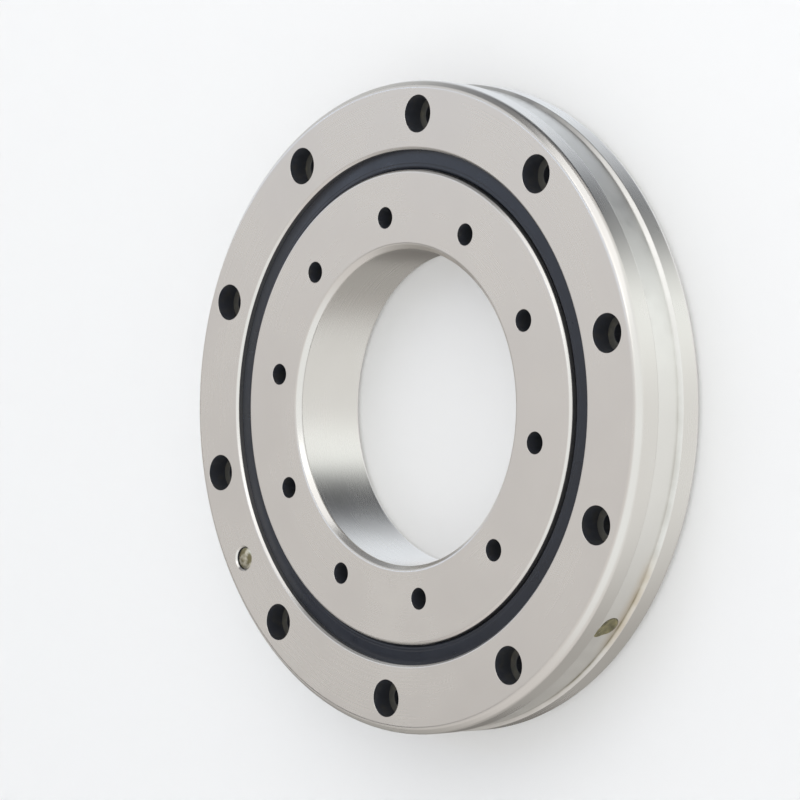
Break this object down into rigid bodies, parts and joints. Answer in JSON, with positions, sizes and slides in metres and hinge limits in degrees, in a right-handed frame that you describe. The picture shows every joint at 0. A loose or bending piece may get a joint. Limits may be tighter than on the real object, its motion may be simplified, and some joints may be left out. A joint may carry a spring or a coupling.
{
  "type": "crossed roller bearing",
  "caption": "Thin crossed roller bearing: one-piece inner and outer rings with counterbored mounting holes, rubber seals, and a grease groove and port round the rim.",
  "frame": {"origin": "centre of the bearing, on its axis, midway between its faces", "axes": "+Z along the axis to the front face, +X through a mounting hole of the outer ring"},
  "size_m": [0.165, 0.165, 0.022],
  "materials": {
    "ring_steel": "satin ground",
    "roller_steel": "polished",
    "pin_steel": "satin",
    "seal_rubber": "semi-gloss",
    "spacer_resin": "matte"
  },
  "bodies": {
    "outer": {"outer_ring": "ring_steel", "filler_plug": "ring_steel", "plug_pin": "pin_steel", "front_seal": "seal_rubber", "rear_seal": "seal_rubber"},
    "inner": {"inner_ring": "ring_steel"},
    "roller_set": {"roller_spacers": "spacer_resin"},
    "roller_01": {"roller_01": "roller_steel"},
    "roller_02": {"roller_02": "roller_steel"},
    "roller_03": {"roller_03": "roller_steel"},
    "roller_04": {"roller_04": "roller_steel"},
    "roller_05": {"roller_05": "roller_steel"},
    "roller_06": {"roller_06": "roller_steel"},
    "roller_07": {"roller_07": "roller_steel"},
    "roller_08": {"roller_08": "roller_steel"},
    "roller_09": {"roller_09": "roller_steel"},
    "roller_10": {"roller_10": "roller_steel"},
    "roller_11": {"roller_11": "roller_steel"},
    "roller_12": {"roller_12": "roller_steel"},
    "roller_13": {"roller_13": "roller_steel"},
    "roller_14": {"roller_14": "roller_steel"},
    "roller_15": {"roller_15": "roller_steel"},
    "roller_16": {"roller_16": "roller_steel"},
    "roller_17": {"roller_17": "roller_steel"},
    "roller_18": {"roller_18": "roller_steel"},
    "roller_19": {"roller_19": "roller_steel"},
    "roller_20": {"roller_20": "roller_steel"},
    "roller_21": {"roller_21": "roller_steel"},
    "roller_22": {"roller_22": "roller_steel"},
    "roller_23": {"roller_23": "roller_steel"},
    "roller_24": {"roller_24": "roller_steel"},
    "roller_25": {"roller_25": "roller_steel"},
    "roller_26": {"roller_26": "roller_steel"},
    "roller_27": {"roller_27": "roller_steel"},
    "roller_28": {"roller_28": "roller_steel"},
    "roller_29": {"roller_29": "roller_steel"},
    "roller_30": {"roller_30": "roller_steel"},
    "roller_31": {"roller_31": "roller_steel"},
    "roller_32": {"roller_32": "roller_steel"},
    "roller_33": {"roller_33": "roller_steel"},
    "roller_34": {"roller_34": "roller_steel"}
  },
  "joints": [
    {"name": "inner_ring_turn", "type": "hinge", "parent": "outer", "child": "inner", "pos_m": [0, 0, 0], "axis": [0, 0, 1], "continuous": true},
    {"name": "roller_set_orbit", "type": "hinge", "parent": "outer", "child": "roller_set", "pos_m": [0, 0, 0], "axis": [0, 0, 1], "continuous": true},
    {"name": "roller_01_spin", "type": "hinge", "parent": "roller_set", "child": "roller_01", "pos_m": [0.062, 0, 0], "axis": [0.7071, 0, 0.7071], "continuous": true},
    {"name": "roller_02_spin", "type": "hinge", "parent": "roller_set", "child": "roller_02", "pos_m": [0.06094, 0.01139, 0], "axis": [-0.6951, -0.1299, 0.7071], "continuous": true},
    {"name": "roller_03_spin", "type": "hinge", "parent": "roller_set", "child": "roller_03", "pos_m": [0.05781, 0.0224, 0], "axis": [0.6594, 0.2554, 0.7071], "continuous": true},
    {"name": "roller_04_spin", "type": "hinge", "parent": "roller_set", "child": "roller_04", "pos_m": [0.05271, 0.03264, 0], "axis": [-0.6012, -0.3722, 0.7071], "continuous": true},
    {"name": "roller_05_spin", "type": "hinge", "parent": "roller_set", "child": "roller_05", "pos_m": [0.04582, 0.04177, 0], "axis": [0.5226, 0.4764, 0.7071], "continuous": true},
    {"name": "roller_06_spin", "type": "hinge", "parent": "roller_set", "child": "roller_06", "pos_m": [0.03736, 0.04948, 0], "axis": [-0.4261, -0.5643, 0.7071], "continuous": true},
    {"name": "roller_07_spin", "type": "hinge", "parent": "roller_set", "child": "roller_07", "pos_m": [0.02764, 0.0555, 0], "axis": [0.3152, 0.633, 0.7071], "continuous": true},
    {"name": "roller_08_spin", "type": "hinge", "parent": "roller_set", "child": "roller_08", "pos_m": [0.01697, 0.05963, 0], "axis": [-0.1935, -0.6801, 0.7071], "continuous": true},
    {"name": "roller_09_spin", "type": "hinge", "parent": "roller_set", "child": "roller_09", "pos_m": [0.00572, 0.06174, 0], "axis": [0.0652, 0.7041, 0.7071], "continuous": true},
    {"name": "roller_10_spin", "type": "hinge", "parent": "roller_set", "child": "roller_10", "pos_m": [-0.00572, 0.06174, 0], "axis": [0.0652, -0.7041, 0.7071], "continuous": true},
    {"name": "roller_11_spin", "type": "hinge", "parent": "roller_set", "child": "roller_11", "pos_m": [-0.01697, 0.05963, 0], "axis": [-0.1935, 0.6801, 0.7071], "continuous": true},
    {"name": "roller_12_spin", "type": "hinge", "parent": "roller_set", "child": "roller_12", "pos_m": [-0.02764, 0.0555, 0], "axis": [0.3152, -0.633, 0.7071], "continuous": true},
    {"name": "roller_13_spin", "type": "hinge", "parent": "roller_set", "child": "roller_13", "pos_m": [-0.03736, 0.04948, 0], "axis": [-0.4261, 0.5643, 0.7071], "continuous": true},
    {"name": "roller_14_spin", "type": "hinge", "parent": "roller_set", "child": "roller_14", "pos_m": [-0.04582, 0.04177, 0], "axis": [0.5226, -0.4764, 0.7071], "continuous": true},
    {"name": "roller_15_spin", "type": "hinge", "parent": "roller_set", "child": "roller_15", "pos_m": [-0.05271, 0.03264, 0], "axis": [-0.6012, 0.3722, 0.7071], "continuous": true},
    {"name": "roller_16_spin", "type": "hinge", "parent": "roller_set", "child": "roller_16", "pos_m": [-0.05781, 0.0224, 0], "axis": [0.6594, -0.2554, 0.7071], "continuous": true},
    {"name": "roller_17_spin", "type": "hinge", "parent": "roller_set", "child": "roller_17", "pos_m": [-0.06094, 0.01139, 0], "axis": [-0.6951, 0.1299, 0.7071], "continuous": true},
    {"name": "roller_18_spin", "type": "hinge", "parent": "roller_set", "child": "roller_18", "pos_m": [-0.062, 0, 0], "axis": [0.7071, 0, 0.7071], "continuous": true},
    {"name": "roller_19_spin", "type": "hinge", "parent": "roller_set", "child": "roller_19", "pos_m": [-0.06094, -0.01139, 0], "axis": [-0.6951, -0.1299, 0.7071], "continuous": true},
    {"name": "roller_20_spin", "type": "hinge", "parent": "roller_set", "child": "roller_20", "pos_m": [-0.05781, -0.0224, 0], "axis": [0.6594, 0.2554, 0.7071], "continuous": true},
    {"name": "roller_21_spin", "type": "hinge", "parent": "roller_set", "child": "roller_21", "pos_m": [-0.05271, -0.03264, 0], "axis": [-0.6012, -0.3722, 0.7071], "continuous": true},
    {"name": "roller_22_spin", "type": "hinge", "parent": "roller_set", "child": "roller_22", "pos_m": [-0.04582, -0.04177, 0], "axis": [0.5226, 0.4764, 0.7071], "continuous": true},
    {"name": "roller_23_spin", "type": "hinge", "parent": "roller_set", "child": "roller_23", "pos_m": [-0.03736, -0.04948, 0], "axis": [-0.4261, -0.5643, 0.7071], "continuous": true},
    {"name": "roller_24_spin", "type": "hinge", "parent": "roller_set", "child": "roller_24", "pos_m": [-0.02764, -0.0555, 0], "axis": [0.3152, 0.633, 0.7071], "continuous": true},
    {"name": "roller_25_spin", "type": "hinge", "parent": "roller_set", "child": "roller_25", "pos_m": [-0.01697, -0.05963, 0], "axis": [-0.1935, -0.6801, 0.7071], "continuous": true},
    {"name": "roller_26_spin", "type": "hinge", "parent": "roller_set", "child": "roller_26", "pos_m": [-0.00572, -0.06174, 0], "axis": [0.0652, 0.7041, 0.7071], "continuous": true},
    {"name": "roller_27_spin", "type": "hinge", "parent": "roller_set", "child": "roller_27", "pos_m": [0.00572, -0.06174, 0], "axis": [0.0652, -0.7041, 0.7071], "continuous": true},
    {"name": "roller_28_spin", "type": "hinge", "parent": "roller_set", "child": "roller_28", "pos_m": [0.01697, -0.05963, 0], "axis": [-0.1935, 0.6801, 0.7071], "continuous": true},
    {"name": "roller_29_spin", "type": "hinge", "parent": "roller_set", "child": "roller_29", "pos_m": [0.02764, -0.0555, 0], "axis": [0.3152, -0.633, 0.7071], "continuous": true},
    {"name": "roller_30_spin", "type": "hinge", "parent": "roller_set", "child": "roller_30", "pos_m": [0.03736, -0.04948, 0], "axis": [-0.4261, 0.5643, 0.7071], "continuous": true},
    {"name": "roller_31_spin", "type": "hinge", "parent": "roller_set", "child": "roller_31", "pos_m": [0.04582, -0.04177, 0], "axis": [0.5226, -0.4764, 0.7071], "continuous": true},
    {"name": "roller_32_spin", "type": "hinge", "parent": "roller_set", "child": "roller_32", "pos_m": [0.05271, -0.03264, 0], "axis": [-0.6012, 0.3722, 0.7071], "continuous": true},
    {"name": "roller_33_spin", "type": "hinge", "parent": "roller_set", "child": "roller_33", "pos_m": [0.05781, -0.0224, 0], "axis": [0.6594, -0.2554, 0.7071], "continuous": true},
    {"name": "roller_34_spin", "type": "hinge", "parent": "roller_set", "child": "roller_34", "pos_m": [0.06094, -0.01139, 0], "axis": [-0.6951, 0.1299, 0.7071], "continuous": true}
  ],
  "couplings": [
    {"joint": "roller_set_orbit", "follows": "inner_ring_turn", "ratio": 0.47149},
    {"joint": "roller_01_spin", "follows": "inner_ring_turn", "ratio": -6.1798},
    {"joint": "roller_02_spin", "follows": "inner_ring_turn", "ratio": -6.1798},
    {"joint": "roller_03_spin", "follows": "inner_ring_turn", "ratio": -6.1798},
    {"joint": "roller_04_spin", "follows": "inner_ring_turn", "ratio": -6.1798},
    {"joint": "roller_05_spin", "follows": "inner_ring_turn", "ratio": -6.1798},
    {"joint": "roller_06_spin", "follows": "inner_ring_turn", "ratio": -6.1798},
    {"joint": "roller_07_spin", "follows": "inner_ring_turn", "ratio": -6.1798},
    {"joint": "roller_08_spin", "follows": "inner_ring_turn", "ratio": -6.1798},
    {"joint": "roller_09_spin", "follows": "inner_ring_turn", "ratio": -6.1798},
    {"joint": "roller_10_spin", "follows": "inner_ring_turn", "ratio": -6.1798},
    {"joint": "roller_11_spin", "follows": "inner_ring_turn", "ratio": -6.1798},
    {"joint": "roller_12_spin", "follows": "inner_ring_turn", "ratio": -6.1798},
    {"joint": "roller_13_spin", "follows": "inner_ring_turn", "ratio": -6.1798},
    {"joint": "roller_14_spin", "follows": "inner_ring_turn", "ratio": -6.1798},
    {"joint": "roller_15_spin", "follows": "inner_ring_turn", "ratio": -6.1798},
    {"joint": "roller_16_spin", "follows": "inner_ring_turn", "ratio": -6.1798},
    {"joint": "roller_17_spin", "follows": "inner_ring_turn", "ratio": -6.1798},
    {"joint": "roller_18_spin", "follows": "inner_ring_turn", "ratio": -6.1798},
    {"joint": "roller_19_spin", "follows": "inner_ring_turn", "ratio": -6.1798},
    {"joint": "roller_20_spin", "follows": "inner_ring_turn", "ratio": -6.1798},
    {"joint": "roller_21_spin", "follows": "inner_ring_turn", "ratio": -6.1798},
    {"joint": "roller_22_spin", "follows": "inner_ring_turn", "ratio": -6.1798},
    {"joint": "roller_23_spin", "follows": "inner_ring_turn", "ratio": -6.1798},
    {"joint": "roller_24_spin", "follows": "inner_ring_turn", "ratio": -6.1798},
    {"joint": "roller_25_spin", "follows": "inner_ring_turn", "ratio": -6.1798},
    {"joint": "roller_26_spin", "follows": "inner_ring_turn", "ratio": -6.1798},
    {"joint": "roller_27_spin", "follows": "inner_ring_turn", "ratio": -6.1798},
    {"joint": "roller_28_spin", "follows": "inner_ring_turn", "ratio": -6.1798},
    {"joint": "roller_29_spin", "follows": "inner_ring_turn", "ratio": -6.1798},
    {"joint": "roller_30_spin", "follows": "inner_ring_turn", "ratio": -6.1798},
    {"joint": "roller_31_spin", "follows": "inner_ring_turn", "ratio": -6.1798},
    {"joint": "roller_32_spin", "follows": "inner_ring_turn", "ratio": -6.1798},
    {"joint": "roller_33_spin", "follows": "inner_ring_turn", "ratio": -6.1798},
    {"joint": "roller_34_spin", "follows": "inner_ring_turn", "ratio": -6.1798}
  ]
}
